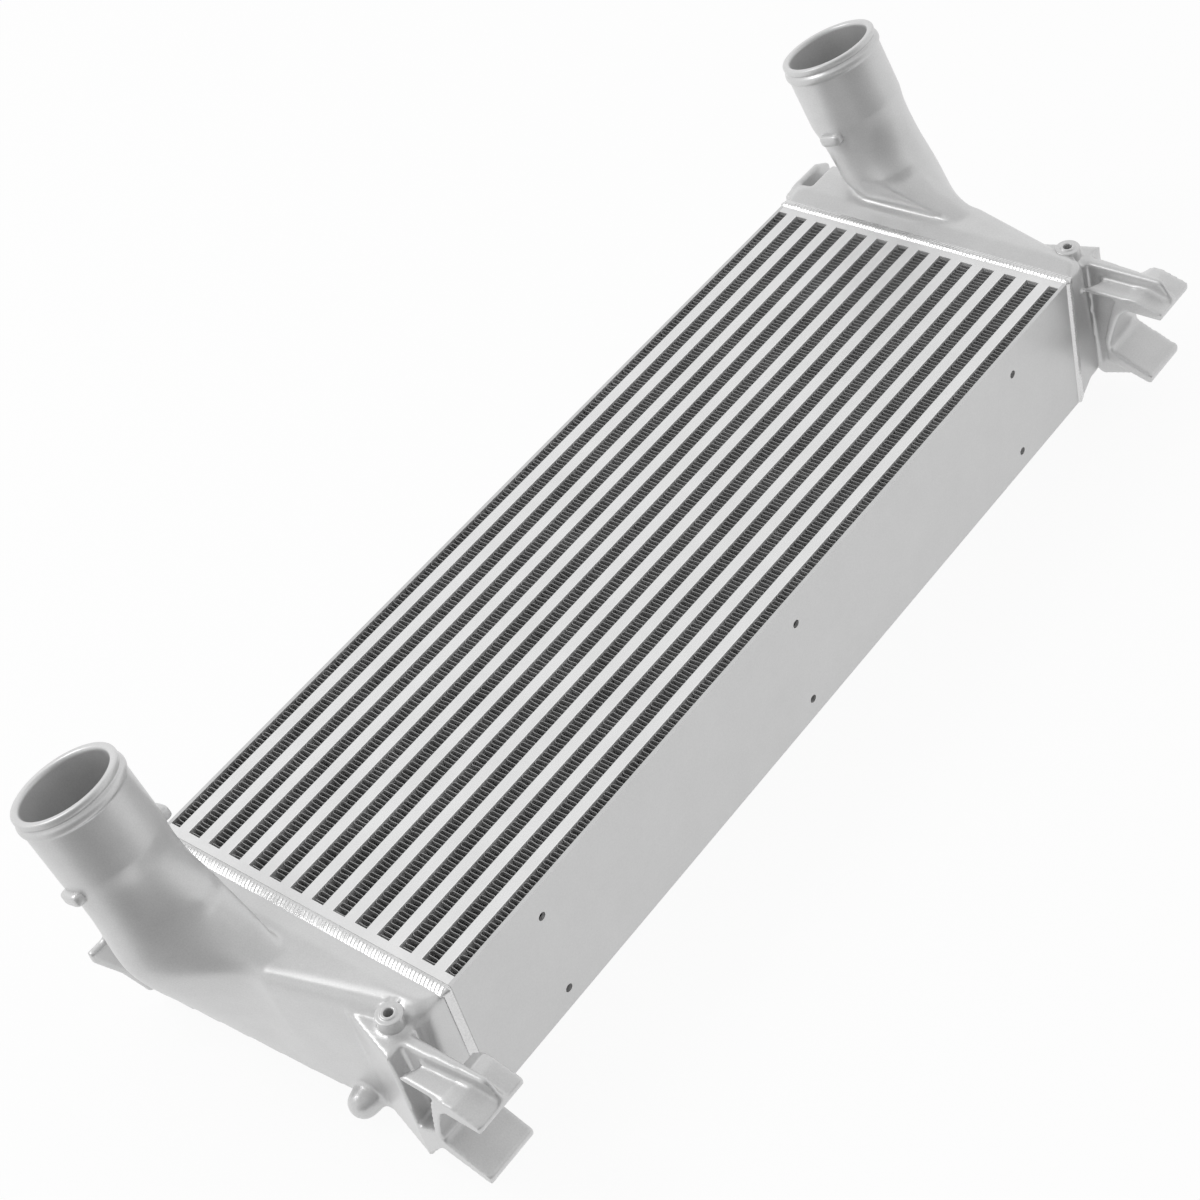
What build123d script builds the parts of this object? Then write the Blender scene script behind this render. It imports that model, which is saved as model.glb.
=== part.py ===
from build123d import *
import math
import os

# Charge-air cooler of bar-and-plate build with two cast end tanks. All sizes are in millimetres.
# X runs across the stack of tubes, from the spigot side to the fork side. Y runs along the tubes.
# Z is the way the cooling air passes, and z = 0 is the rear face of the core.
# Each tank is worked out in its own frame: "out" is the distance from the end of the fin rows,
# "up" is the height above the rear face, and x is shared with the core.

# How far a cutting body runs past the faces that it cuts
OVERCUT = 1.0

# Core
TUBE_COUNT = 13
TUBE_PITCH = 15.5
TUBE_WIDTH = 7.1
PARTING_SHEET = 0.6
TUBE_BAR_DEPTH = 6.0
CORE_DEPTH = 94.0
FIN_LENGTH = 572.0
HEADER_BAR = 5.5
EDGE_FIN_WIDTH = 6.5
SIDE_PLATE = 2.2

# Corrugated sheets
FIN_LEG_COUNT = 44
FIN_SHEET = 0.4
FIN_SETBACK = 0.8
TURBULATOR_LEG_COUNT = 12
TURBULATOR_SHEET = 0.3

# Holes in the side plates
PLATE_HOLE_RADIUS = 2.5
PLATE_HOLE_SPACING_Y = 226.5
PLATE_HOLE_LOW = 13.2
PLATE_HOLE_SPACING_Z = 61.3

# Weld beads between the tanks and the core
WELD_WIDTH = 6.0
WELD_HEIGHT = 1.8

# Tank body. The end outs are its distances out at the places across from the fork side, with the
# fork's corner before them and the lug's corner after them, at the top and at the rear face.
WALL = 4.4
TANK_RISE = 3.5
TANK_UNDERCUT = 7.0
SHOULDER_OUT = 22.0
BODY_REACH = 66.0
RIDGE_RADIUS = 9.0
RIDGE_STEPS = 3
CORNER_RADIUS = 11.0
CORNER_SIDES = 4
END_PLACES = (32.0, 88.0, 150.0)
END_OUTS_TOP = (30.5, 36.0, 52.0, 57.0, 57.0)
END_OUTS_LOW = (40.5, 43.5, 46.5, 50.0, 54.0)

# Plate and lug on the spigot side, and the pocket beside it. The side view gives distances out
# and drops from the tank's top.
LUG_PLATE = 4.4
LUG_BULGE = 4.0
LUG_VIEW = (
    (15.5, 4.0),
    (27.0, 1.0),
    (50.0, 2.0),
    (60.0, 7.5),
    (63.0, 34.5),
    (75.0, 34.5),
    (75.0, 41.5),
    (64.5, 63.5),
)
LUG_ROOT_UP = 9.0
LUG_FOOT_OUT = 56.0
POCKET_OUT = 27.0
POCKET_WIDTH = 9.0
POCKET_DEPTH = 14.0

# Spigot
SPIGOT_LEAN = 18.9
SPIGOT_INSET = 23.1
SPIGOT_OUT = 50.8
SPIGOT_RISE = 98.1
TUBE_RADIUS = 30.4
BORE_RADIUS = 26.0
LIP_HEIGHT = 0.4
LIP_EDGE = 1.2
GROOVE_DROP = 4.2
GROOVE_DEPTH = 0.5
BEAD_DROP = 7.5
BEAD_WIDTH = 5.0
BEAD_HEIGHT = 1.3
BEAD_CROWN = 2.0
NECK_LENGTH = 55.0
PEG_DROP = 49.0
PEG_LENGTH = 13.0
PEG_WIDTH = 6.5
PEG_HEIGHT = 3.8

# Screw boss
BOSS_INSET = 15.7
BOSS_OUT = 34.0
BOSS_RADIUS = 7.5
BOSS_LENGTH = 26.0
BOSS_COLLAR_RADIUS = 4.6
BOSS_COLLAR_HEIGHT = 0.8
BOSS_HOLE_RADIUS = 2.5
BOSS_HOLE_DEPTH = 16.0
BOSS_EDGE = 1.0
BOSS_SINK = 1.0

# Foot of the spigot. Each row gives a height over the tank's top, then how far from the spigot side
# and how far out a big circle lies, with its radius, then the same for the toe beside it. In the
# round neck both arcs have one radius, and the neck split keeps their middles a hair apart.
ELBOW_ROWS = (
    (20.5, 50.4, 50.9, 30.3, 67.2, 42.0, 19.0),
    (9.5, 53.2, 53.7, 30.2, 90.2, 38.0, 12.5),
    (0.0, 58.4, 56.9, 29.4, 113.7, 37.5, 8.5),
    (-25.5, 58.2, 48.0, 29.0, 115.2, 36.0, 9.0),
    (-83.5, 60.2, 34.0, 21.0, 121.2, 32.0, 9.0),
)
ELBOW_COLLAR = 7.0
ELBOW_SIDES = 14
ELBOW_TOE_SIDES = 8
NECK_SPLIT_X = 0.1
NECK_SPLIT_Y = 0.05
TOE_START = math.radians(-52)
TOE_END = math.radians(86)

# Fork: its side view, across from the fork side of the core and down from the core's front face
FORK_INNER_OUT = 20.6
FORK_WIDTH = 33.4
FORK_SIDE_VIEW = (
    (53.5, 18.8),
    (38.0, 13.6),
    (30.0, 13.6),
    (21.0, 20.5),
    (16.8, 34.8),
    (12.8, 50.6),
    (13.3, 67.0),
    (42.7, 76.5),
    (44.5, 70.8),
    (17.0, 58.5),
    (16.4, 53.5),
    (20.4, 39.5),
    (24.5, 29.0),
    (30.5, 23.4),
    (53.5, 23.5),
)
FORK_ROUND = 1.4
FLOOR_DROP = 14.0
FLOOR_THICKNESS = 3.0
FLOOR_OUTER_PLAN = ((1.4, 53.3), (7.2, 42.4), (7.2, 38.0), (30.0, 38.0), (30.0, 53.3))
FLOOR_INNER_PLAN = (
    (1.4, FORK_INNER_OUT),
    (7.2, 31.0),
    (7.2, 36.0),
    (30.0, 36.0),
    (30.0, FORK_INNER_OUT),
)

# Rib along the middle of the fork: side view as for the fork, and plan with distances out
RIB_SIDE_VIEW = (
    (-15.7, 6.0),
    (46.4, 6.0),
    (53.9, 18.7),
    (53.0, 21.0),
    (27.0, 21.5),
    (18.6, 37.0),
    (14.6, 52.0),
    (15.5, 62.0),
    (42.0, 73.5),
    (41.0, 79.0),
    (1.0, 92.5),
    (-8.0, 85.5),
)
RIB_PLAN = (
    (-16.0, 33.8),
    (-16.0, 42.4),
    (-3.4, 41.8),
    (20.8, 39.9),
    (46.4, 37.6),
    (54.4, 37.3),
    (54.4, 33.8),
)

# Wedge that carries the fork on the end of the tank: plans across and out, and how deep they lie
WEDGE_TOP = ((-48.2, 38.4), (-4.2, 51.6), (-4.2, 29.0), (-48.2, 37.0))
WEDGE_FOOT = ((-45.2, 41.0), (-1.2, 54.0), (-1.2, 38.0), (-45.2, 40.0))
WEDGE_TOP_DROP = 6.0
WEDGE_FOOT_UP = 7.0
STRUT_VIEW = ((-3.0, 86.0), (13.2, 67.0), (13.8, 53.0), (-3.0, 61.0))
STRUT_INNER_OUT = 41.8

# Locating nub
NUB_RADIUS = 9.0
NUB_INSET = 52.0
NUB_UP = 11.0
NUB_OUT = 49.0
NUB_ROOT_OUT = 36.0
NUB_SWEEP = math.radians(75)
NUB_STEPS = 2

# Sizes that follow from the ones above
CORE_HALF = TUBE_PITCH * (TUBE_COUNT - 1) / 2 + TUBE_WIDTH / 2 + EDGE_FIN_WIDTH + SIDE_PLATE
FIN_WIDTH = TUBE_PITCH - TUBE_WIDTH
CORE_LENGTH = FIN_LENGTH + 2 * HEADER_BAR
TANK_TOP = CORE_DEPTH + TANK_RISE
BOSS_TOP = TANK_TOP - BOSS_SINK
RIM_OUT = HEADER_BAR + WELD_WIDTH
MOUTH_X = SPIGOT_INSET - CORE_HALF
MOUTH_UP = CORE_DEPTH + SPIGOT_RISE


def corrugated_sheet(height, run, legs, sheet):
    """Zigzag face: its folds touch x = -height/2 and x = height/2, and it runs along y."""
    step = run / legs
    across = sheet * math.hypot(1, height / step)
    reach = (height - across) / 2
    path = [((-1) ** i * reach, i * step - run / 2) for i in range(legs + 1)]
    outline = [(x + across / 2, y) for x, y in path]
    outline += [(x - across / 2, y) for x, y in reversed(path)]
    return make_face(Polyline(*outline, close=True))


def tube_places():
    """X of the middle of every charge-air tube."""
    return [TUBE_PITCH * (i - (TUBE_COUNT - 1) / 2) for i in range(TUBE_COUNT)]


def fin_rows():
    """Middle and width in X of every outer fin row, the narrower edge rows included."""
    places = tube_places()
    rows = [(x + TUBE_PITCH / 2, FIN_WIDTH) for x in places[:-1]]
    edge = places[-1] + TUBE_WIDTH / 2 + EDGE_FIN_WIDTH / 2
    return [(-edge, EDGE_FIN_WIDTH)] + rows + [(edge, EDGE_FIN_WIDTH)]


def charge_tube():
    """Two parting sheets and the two long bars brazed between them."""
    centre = Pos(0, 0, CORE_DEPTH / 2)
    outer = centre * Box(TUBE_WIDTH, CORE_LENGTH, CORE_DEPTH)
    passage_width = TUBE_WIDTH - 2 * PARTING_SHEET
    passage_depth = CORE_DEPTH - 2 * TUBE_BAR_DEPTH
    return outer - centre * Box(passage_width, CORE_LENGTH + 2 * OVERCUT, passage_depth)


def turbulator():
    """Corrugated sheet inside a charge-air tube, folded across the air and open along it."""
    width = TUBE_WIDTH - 2 * PARTING_SHEET
    depth = CORE_DEPTH - 2 * TUBE_BAR_DEPTH
    face = corrugated_sheet(width, depth, TURBULATOR_LEG_COUNT, TURBULATOR_SHEET)
    start = Plane(origin=(0, CORE_LENGTH / 2, CORE_DEPTH / 2), x_dir=(1, 0, 0), z_dir=(0, -1, 0))
    return extrude(start * face, amount=CORE_LENGTH)


def cooling_fin(width):
    """Corrugated sheet between two tubes, open to the cooling air."""
    face = corrugated_sheet(width, FIN_LENGTH, FIN_LEG_COUNT, FIN_SHEET)
    return extrude(Pos(0, 0, FIN_SETBACK) * face, amount=CORE_DEPTH - 2 * FIN_SETBACK)


def header_bars(side):
    """The bars that close the fin rows at one end of the core."""
    y = side * (FIN_LENGTH + HEADER_BAR) / 2
    bars = [Pos(x, y, CORE_DEPTH / 2) * Box(w, HEADER_BAR, CORE_DEPTH) for x, w in fin_rows()]
    return Compound(children=bars)


def side_plate(side):
    """Flat end sheet of the stack with three pairs of holes."""
    x = side * (CORE_HALF - SIDE_PLATE / 2)
    plate = Pos(x, 0, CORE_DEPTH / 2) * Box(SIDE_PLATE, CORE_LENGTH, CORE_DEPTH)
    drill = Rot(0, 90, 0) * Cylinder(PLATE_HOLE_RADIUS, SIDE_PLATE + 2 * OVERCUT)
    for y in (-PLATE_HOLE_SPACING_Y, 0, PLATE_HOLE_SPACING_Y):
        for z in (PLATE_HOLE_LOW, PLATE_HOLE_LOW + PLATE_HOLE_SPACING_Z):
            plate -= Pos(x, y, z) * drill
    return plate


def upright(out):
    """Plane across the tank at a distance out, drawn with x across and y up, facing outward."""
    return Plane(origin=(0, -out, 0), x_dir=(1, 0, 0), z_dir=(0, -1, 0))


def weld_bead():
    """Ring of weld on the rim of the tank, up to its joint with the core."""
    start = upright(HEADER_BAR) * Pos(0, CORE_DEPTH / 2)
    outside = Rectangle(2 * (CORE_HALF + WELD_HEIGHT), CORE_DEPTH + 2 * WELD_HEIGHT)
    ring = extrude(start * fillet(outside.vertices(), WELD_HEIGHT), WELD_WIDTH)
    rims = ring.edges().filter_by(lambda e: abs(e.tangent_at(0.5).Y) < 0.5)
    ring = chamfer(rims, WELD_HEIGHT / 2)
    return ring - extrude(start * Rectangle(2 * CORE_HALF, CORE_DEPTH), WELD_WIDTH)


def arc_points(x, y, radius, start, end, steps):
    """Evenly spaced points of an arc, both ends included."""
    angles = [start + (end - start) * step / steps for step in range(steps + 1)]
    return [(x + radius * math.cos(angle), y + radius * math.sin(angle)) for angle in angles]


def body_plan(up, inset, corner, start):
    """Plan of the tank at a height. Its end leans in towards the top on the fork side."""
    share = up / TANK_TOP
    outs = [low + share * (top - low) - inset for low, top in zip(END_OUTS_LOW, END_OUTS_TOP)]
    right = CORE_HALF - inset
    left = inset - CORE_HALF
    lug_side = left - LUG_BULGE
    fork_middle = (right - corner, corner - outs[0])
    fork_corner = arc_points(*fork_middle, corner, 0, -math.pi / 2, CORNER_SIDES)
    lug_middle = (lug_side + corner, corner - outs[-1])
    lug_corner = arc_points(*lug_middle, corner, -math.pi / 2, -math.pi, CORNER_SIDES)
    end = [(CORE_HALF - place, -out) for place, out in zip(END_PLACES, outs[1:-1])]
    back = [(lug_side, -SHOULDER_OUT), (left, -RIM_OUT), (left, -start), (right, -start)]
    return Pos(0, 0, up) * make_face(Polyline(*fork_corner, *end, *lug_corner, *back, close=True))


def side_profile(inset, start):
    """Outline of the tank from the side: it swells past the weld and is undercut at the rear."""
    outline = Polyline(
        (start, inset),
        (RIM_OUT, inset),
        (SHOULDER_OUT, TANK_UNDERCUT + inset),
        (BODY_REACH, TANK_UNDERCUT + inset),
        (BODY_REACH, TANK_TOP - inset),
        (SHOULDER_OUT, TANK_TOP - inset),
        (RIM_OUT, CORE_DEPTH - inset),
        (start, CORE_DEPTH - inset),
        close=True,
    )
    side = Plane(origin=(-2 * CORE_HALF, 0, 0), x_dir=(0, -1, 0), z_dir=(-1, 0, 0))
    return extrude(side * make_face(outline), -4 * CORE_HALF)


def body_block(inset):
    """Tank body with a rounded ridge, or its cavity when inset is the wall."""
    start = HEADER_BAR if inset == 0 else HEADER_BAR - OVERCUT
    ridge = RIDGE_RADIUS - inset
    sections = [body_plan(inset, inset, CORNER_RADIUS - inset, start)]
    for step in range(RIDGE_STEPS + 1):
        angle = math.pi / 2 * step / RIDGE_STEPS
        up = TANK_TOP - inset - ridge * (1 - math.sin(angle))
        shrink = ridge * (1 - math.cos(angle))
        sections.append(body_plan(up, inset + shrink, CORNER_RADIUS - inset - shrink, start))
    return loft(sections, ruled=True) & side_profile(inset, start)


def teardrop(x, y, radius, toe_x, toe_y, toe_radius):
    """Many-sided face round a big circle and a smaller one, with the same bearings at any size."""
    toe = arc_points(toe_x, toe_y, toe_radius, TOE_START, TOE_END, ELBOW_TOE_SIDES)
    big = arc_points(x, y, radius, TOE_END, TOE_START + math.tau, ELBOW_SIDES)
    return make_face(Polyline(*toe, *big, close=True))


def elbow(inset):
    """Spigot's foot: below the round neck it flares along the tank and sinks into its end."""
    radius = TUBE_RADIUS - inset
    sections = []
    for drop in (NECK_LENGTH, NECK_LENGTH + ELBOW_COLLAR):
        ring = teardrop(0, 0, radius, NECK_SPLIT_X, NECK_SPLIT_Y, radius)
        sections.append(spigot_axis() * Pos(0, 0, -drop) * ring)
    for rise, x, out, big, toe_x, toe_out, toe in ELBOW_ROWS:
        outline = teardrop(x - CORE_HALF, -out, big - inset, toe_x - CORE_HALF, -toe_out, toe - inset)
        sections.append(Pos(0, 0, TANK_TOP + rise) * outline)
    return loft(sections, ruled=True)


def spigot_axis():
    """Place on the mouth of the spigot, with Z pointing out of it along the leaning tube."""
    return Pos(MOUTH_X, -SPIGOT_OUT, MOUTH_UP) * Rot(0, -SPIGOT_LEAN, 0)


def spigot_tube():
    """Turned outside of the spigot: lip with broken edges, groove, hose bead and plain neck."""
    lip = TUBE_RADIUS + LIP_HEIGHT
    crown = TUBE_RADIUS + BEAD_HEIGHT
    half = BEAD_WIDTH / 2
    profile = Polyline(
        (0, -NECK_LENGTH),
        (TUBE_RADIUS, -NECK_LENGTH),
        (TUBE_RADIUS, -BEAD_DROP - half),
        (crown, -BEAD_DROP - BEAD_CROWN / 2),
        (crown, -BEAD_DROP + BEAD_CROWN / 2),
        (TUBE_RADIUS - GROOVE_DEPTH, -GROOVE_DROP),
        (lip, -GROOVE_DROP + LIP_EDGE),
        (lip, -LIP_EDGE),
        (lip - LIP_EDGE, 0),
        (0, 0),
        close=True,
    )
    return spigot_axis() * revolve(make_face(Plane.XZ * profile), Axis.Z)


def hose_pegs():
    """Two stops on the sides of the spigot that keep the hose from sliding down."""
    peg = Box(PEG_LENGTH, 2 * (TUBE_RADIUS + PEG_HEIGHT), PEG_WIDTH)
    peg = chamfer(peg.edges().filter_by(Axis.Z), PEG_HEIGHT)
    low = peg.faces().sort_by(Axis.Z)[0].edges().filter_by(Axis.X)
    peg = chamfer(low, PEG_HEIGHT / 2)
    return spigot_axis() * Pos(0, 0, -PEG_DROP) * peg


def lug():
    """Thin plate that closes the spigot side of the tank and runs on into a pointed lug."""
    edge = [(out, TANK_TOP - drop) for out, drop in LUG_VIEW]
    root = (edge[0][0], LUG_ROOT_UP)
    outline = Polyline(root, *edge, (LUG_FOOT_OUT, TANK_UNDERCUT), close=True)
    side = Plane(origin=(-CORE_HALF - LUG_BULGE, 0, 0), x_dir=(0, -1, 0), z_dir=(-1, 0, 0))
    return extrude(side * make_face(outline), -LUG_PLATE)


def from_corner(points):
    """Points given across from the fork side and down from the front face, as x and height."""
    return [(CORE_HALF + across, CORE_DEPTH - down) for across, down in points]


def plan_face(points):
    """Flat face from points given across from the fork side and out along the tank."""
    return make_face(Polyline(*[(CORE_HALF + across, -out) for across, out in points], close=True))


def fork_arms():
    """The C of the fork."""
    outline = FilletPolyline(*from_corner(FORK_SIDE_VIEW), radius=FORK_ROUND, close=True)
    return extrude(upright(FORK_INNER_OUT) * make_face(outline), FORK_WIDTH)


def fork_rib():
    """Upright web through the middle of the fork, thinning towards its tip."""
    slab = extrude(plan_face(RIB_PLAN), CORE_DEPTH)
    outline = Polyline(*from_corner(RIB_SIDE_VIEW), close=True)
    return slab & extrude(upright(0) * make_face(outline), FORK_INNER_OUT + FORK_WIDTH)


def fork_floor(outward):
    """Thin floor on one side of the rib, level with the back of the upper arm."""
    outline = FLOOR_OUTER_PLAN if outward else FLOOR_INNER_PLAN
    top = CORE_DEPTH - FLOOR_DROP
    return extrude(Pos(0, 0, top - FLOOR_THICKNESS) * plan_face(outline), FLOOR_THICKNESS)


def wedge():
    """Tapered block on the end of the tank that carries the fork, and the strut below it."""
    top = Pos(0, 0, CORE_DEPTH - WEDGE_TOP_DROP) * plan_face(WEDGE_TOP)
    foot = Pos(0, 0, WEDGE_FOOT_UP) * plan_face(WEDGE_FOOT)
    outline = Polyline(*from_corner(STRUT_VIEW), close=True)
    reach = FORK_INNER_OUT + FORK_WIDTH - STRUT_INNER_OUT
    return loft([foot, top], ruled=True) + extrude(upright(STRUT_INNER_OUT) * make_face(outline), reach)


def boss():
    """Round screw boss on the ridge of the tank, with a raised collar round its hole."""
    barrel = Cylinder(BOSS_RADIUS, BOSS_LENGTH, align=(Align.CENTER, Align.CENTER, Align.MAX))
    barrel = chamfer(barrel.edges().group_by(Axis.Z)[-1], BOSS_EDGE)
    collar = Cylinder(BOSS_COLLAR_RADIUS, BOSS_COLLAR_HEIGHT, align=(Align.CENTER, Align.CENTER, Align.MIN))
    return Pos(CORE_HALF - BOSS_INSET, -BOSS_OUT, BOSS_TOP) * (barrel + collar)


def boss_hole():
    """Blind hole of the screw boss."""
    depth = BOSS_HOLE_DEPTH + BOSS_COLLAR_HEIGHT
    drill = Cylinder(BOSS_HOLE_RADIUS, depth, align=(Align.CENTER, Align.CENTER, Align.MAX))
    return Pos(CORE_HALF - BOSS_INSET, -BOSS_OUT, BOSS_TOP + BOSS_COLLAR_HEIGHT) * drill


def nub():
    """Dome-ended locating peg low on the end of the tank."""
    dome = arc_points(0, 0, NUB_RADIUS, 0, NUB_SWEEP, NUB_STEPS)
    root = NUB_ROOT_OUT - NUB_OUT
    profile = Polyline((0, root), (NUB_RADIUS, root), *dome, (0, dome[-1][1]), close=True)
    peg = revolve(make_face(Plane.XZ * profile), Axis.Z)
    return Pos(CORE_HALF - NUB_INSET, -NUB_OUT, NUB_UP) * Rot(90, 0, 0) * peg


def outer_body():
    """Outside of the tank body, with its square rim and the pocket beside the lug."""
    face = upright(HEADER_BAR) * Pos(0, CORE_DEPTH / 2) * Rectangle(2 * CORE_HALF, CORE_DEPTH)
    return body_block(0) + extrude(face, RIM_OUT - HEADER_BAR) - lug_pocket(0)


def lug_pocket(wall):
    """Hollow between the lug plate and the spigot's foot, grown by a wall around it."""
    left = -CORE_HALF - LUG_BULGE + LUG_PLATE - wall
    width = POCKET_WIDTH + 2 * wall
    depth = POCKET_DEPTH + wall
    corner = (Align.MIN, Align.MAX, Align.MAX)
    space = Box(width, BODY_REACH, depth + OVERCUT, align=corner)
    return Pos(left, wall - POCKET_OUT, TANK_TOP + OVERCUT) * space


def bore_core():
    """Space inside the spigot's tube."""
    length = NECK_LENGTH + 2 * OVERCUT
    core = Cylinder(BORE_RADIUS, length, align=(Align.CENTER, Align.CENTER, Align.MAX))
    return spigot_axis() * Pos(0, 0, OVERCUT) * core


def tank_casting():
    """End tank as a hollow casting without the floor of its fork, in its own frame."""
    casting = outer_body() + elbow(0) + spigot_tube()
    casting -= body_block(WALL) - lug_pocket(WALL)
    casting -= elbow(TUBE_RADIUS - BORE_RADIUS)
    casting -= bore_core()
    for piece in (lug(), wedge(), fork_arms(), fork_rib(), boss(), nub(), hose_pegs() - bore_core()):
        casting += piece
    return casting


def end_tanks():
    """Near and far tank. They mirror each other but for the floor beside the fork's web."""
    casting = tank_casting()
    near = casting + fork_floor(True) - boss_hole()
    far = casting + fork_floor(False) - boss_hole()
    place = Pos(0, -FIN_LENGTH / 2, 0)
    return place * near, mirror(place * far, about=Plane.XZ)


def write(name, shape):
    """Write one piece under its name."""
    shape.label = name
    export_step(shape, os.path.join("parts", name + ".step"))


def main():
    """Build every piece of the cooler."""
    os.makedirs("parts", exist_ok=True)
    near_tank, far_tank = end_tanks()
    write("near_end_tank", near_tank)
    write("far_end_tank", far_tank)
    bead = Pos(0, -FIN_LENGTH / 2, 0) * weld_bead()
    write("near_weld_bead", bead)
    write("far_weld_bead", mirror(bead, about=Plane.XZ))
    write("near_header_bars", header_bars(-1))
    write("far_header_bars", header_bars(1))
    write("left_side_plate", side_plate(-1))
    write("right_side_plate", side_plate(1))
    tube = charge_tube()
    insert = turbulator()
    for number, x in enumerate(tube_places(), 1):
        write(f"charge_tube_{number:02d}", Pos(x, 0, 0) * tube)
        write(f"turbulator_{number:02d}", Pos(x, 0, 0) * insert)
    for number, (x, width) in enumerate(fin_rows(), 1):
        write(f"cooling_fin_{number:02d}", Pos(x, 0, 0) * cooling_fin(width))


if __name__ == "__main__":
    main()
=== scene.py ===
# %% [markdown]
# # Charge-air cooler
#
# The real object is a block of flat aluminium tubes with folded fins between them, closed by a cast
# tank at each end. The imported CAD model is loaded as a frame. Bars, tubes and side plates are right
# as the CAD has them and only get a finish. The castings, the fins and the welds get new surfaces,
# because their look comes from roundings, folds and ripples that are too fine for the CAD.
#
# Blender works in metres. Sizes of the product are written in millimetres and multiplied by MM.

# %% Load the frame
import math
import bmesh
import bpy
import numpy as np
from mathutils import Matrix, Vector


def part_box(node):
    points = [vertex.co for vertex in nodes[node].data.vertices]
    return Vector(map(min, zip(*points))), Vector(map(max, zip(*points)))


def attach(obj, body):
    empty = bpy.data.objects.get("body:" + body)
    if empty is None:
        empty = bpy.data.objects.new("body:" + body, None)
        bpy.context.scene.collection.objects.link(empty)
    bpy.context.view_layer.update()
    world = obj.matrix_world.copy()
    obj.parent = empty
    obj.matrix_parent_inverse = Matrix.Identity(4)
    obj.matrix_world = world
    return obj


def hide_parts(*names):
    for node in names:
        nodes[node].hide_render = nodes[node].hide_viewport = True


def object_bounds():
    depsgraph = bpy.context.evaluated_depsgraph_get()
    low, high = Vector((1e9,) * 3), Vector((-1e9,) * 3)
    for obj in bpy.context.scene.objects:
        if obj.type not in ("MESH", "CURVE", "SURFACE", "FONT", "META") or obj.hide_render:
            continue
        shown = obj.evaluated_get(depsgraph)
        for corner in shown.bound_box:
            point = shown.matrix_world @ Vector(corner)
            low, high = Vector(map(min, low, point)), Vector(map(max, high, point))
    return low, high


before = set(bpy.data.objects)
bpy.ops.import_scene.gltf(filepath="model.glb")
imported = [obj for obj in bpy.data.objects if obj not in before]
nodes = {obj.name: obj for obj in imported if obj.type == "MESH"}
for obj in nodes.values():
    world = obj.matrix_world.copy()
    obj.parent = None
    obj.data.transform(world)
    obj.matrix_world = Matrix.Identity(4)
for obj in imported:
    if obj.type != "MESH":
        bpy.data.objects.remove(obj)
cad_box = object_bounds()
MM = 0.001
print("frame:", len(nodes), "CAD nodes, box in metres", cad_box)

# %% [markdown]
# ## The core's limits
#
# The core is the brazed block between the tanks. Its limits could be typed in again, but a number
# that exists twice can drift apart, so they are read from the boxes of the CAD nodes. Y runs along
# the core, Z is up through its front face, and X is across it.

# %% Read the core's limits
# FIN_HALF is where the fins end, and JOINT where the core ends and a tank begins.
TUBE_COUNT = 13
TUBE_PITCH = 15.5
TUBE_WIDTH = 7.1
CORE_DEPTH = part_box("charge_tube_07")[1][2] / MM
CORE_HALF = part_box("right_side_plate")[1][0] / MM
FIN_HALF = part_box("cooling_fin_02")[1][1] / MM
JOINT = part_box("charge_tube_07")[1][1] / MM
SIDES = {"near": -1, "far": 1}
print(f"core: depth {CORE_DEPTH:.1f}, half width {CORE_HALF:.1f}, half length {JOINT:.1f} mm")

# %% [markdown]
# ## Camera
#
# A camera is a place, a direction and a lens. These were solved beforehand from the corners of the
# core and the two round mouths, whose real shape is known. Two of the camera's axes are given, and
# the third is their cross product. It points backwards, because a Blender camera looks along its
# own negative Z.

# %% Place the camera
CAMERA_AT = (763.55, -679.54, 1020.9)
CAMERA_RIGHT = (0.7683, 0.6030, -0.2149)
CAMERA_UP = (-0.3129, 0.6466, 0.6958)
LENS = 73.06
SENSOR = 36.0
# How far the camera sees, in metres.
SIGHT = 20.0


def place_camera():
    """Camera whose axes are right, back x right and back, with back = right x up."""
    data = bpy.data.cameras.new("camera")
    data.lens = LENS
    data.sensor_width = SENSOR
    data.clip_end = SIGHT
    camera = bpy.data.objects.new("camera", data)
    right = Vector(CAMERA_RIGHT).normalized()
    back = right.cross(Vector(CAMERA_UP)).normalized()
    turn = Matrix((right, back.cross(right), back)).transposed().to_4x4()
    camera.matrix_world = Matrix.Translation(Vector(CAMERA_AT) * MM) @ turn
    bpy.context.collection.objects.link(camera)
    bpy.context.scene.camera = camera
    return camera


camera = place_camera()
print("camera at", tuple(round(value, 3) for value in camera.matrix_world.translation), "m")

# %% [markdown]
# ## From a grid of points to a mesh
#
# Most new pieces are a grid: a profile carried along a path, or turned round an axis. The points
# are worked out as one array, and the faces only say which points are neighbours. This could be
# drawn by hand in Edit Mode, but a grid keeps the piece exact and easy to change.

# %% Mesh from points and faces
def new_object(name, points, faces, smooth=True):
    """Piece from points in millimetres, riding on the one body. Faces are lists of point numbers."""
    mesh = bpy.data.meshes.new(name)
    mesh.from_pydata((np.asarray(points) * MM).tolist(), [], [list(map(int, face)) for face in faces])
    mesh.update()
    obj = bpy.data.objects.new(name, mesh)
    bpy.context.collection.objects.link(obj)
    if smooth:
        mesh.shade_smooth()
    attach(obj, "root")
    return obj


def grid_faces(rows, columns, wrap_rows=False, wrap_columns=False):
    """Quads of a grid of points numbered row by row, closed on itself where asked.

    Point (i, j) has the number i * columns + j, and its quad is (i, j), (i+1, j), (i+1, j+1), (i, j+1).
    """
    last_row = rows if wrap_rows else rows - 1
    last_column = columns if wrap_columns else columns - 1
    i, j = np.meshgrid(np.arange(last_row), np.arange(last_column), indexing="ij")
    i, j = i.ravel(), j.ravel()
    down, right = (i + 1) % rows, (j + 1) % columns
    corners = [i * columns + j, down * columns + j, down * columns + right, i * columns + right]
    return np.stack(corners, axis=1)


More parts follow.
